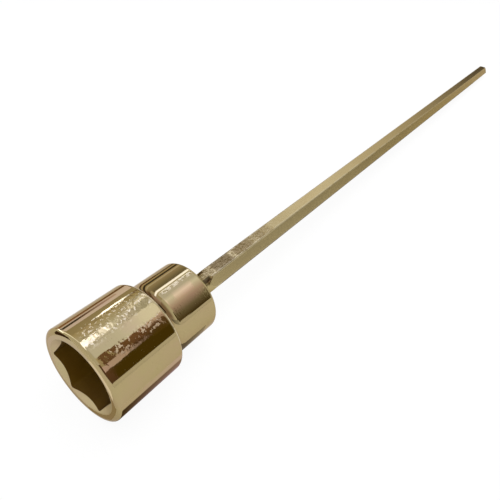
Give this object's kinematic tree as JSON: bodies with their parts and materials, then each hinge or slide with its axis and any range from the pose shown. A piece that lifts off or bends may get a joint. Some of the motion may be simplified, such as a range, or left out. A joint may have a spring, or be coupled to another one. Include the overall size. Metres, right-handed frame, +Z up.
{
  "type": "socket wrench",
  "caption": "Round socket with a hexagon mouth on a long straight hexagonal rod; the rod's square tang and sprung ball hold the socket, and its free end takes a chuck or a key",
  "frame": {"origin": "middle of the tool's footprint, on the bench that it lies on", "axes": "+X runs along the tool from the mouth of the socket to the rod's free end, +Z is up; the tool's own axis dips 1.61 degrees towards +X, because it lies on the rear edge of the socket's nose and on the rod's free end"},
  "size_m": [0.3558, 0.0252, 0.0257],
  "materials": {
    "polished_plating": "bright warm plating, mirror polished with slight ripple",
    "satin_plating": "satin warm plating on drawn bar, fine lengthwise grain",
    "ball_steel": "polished bearing steel",
    "spring_steel": "drawn spring wire"
  },
  "bodies": {
    "rod": {"drive_rod": "satin_plating", "detent_spring": "spring_steel"},
    "socket": {"socket": "polished_plating"},
    "ball": {"detent_ball": "ball_steel"}
  },
  "joints": [
    {"name": "socket_pull", "type": "slide", "parent": "rod", "child": "socket", "axis": [-0.9996, 0, 0.0281], "range_m": [0, 0.016]},
    {"name": "ball_press", "type": "slide", "parent": "rod", "child": "ball", "axis": [-0.0281, 0, -0.9996], "range_m": [0, 0.0006], "stiffness_N_per_m": 2000, "deforming": ["detent_spring"]}
  ]
}
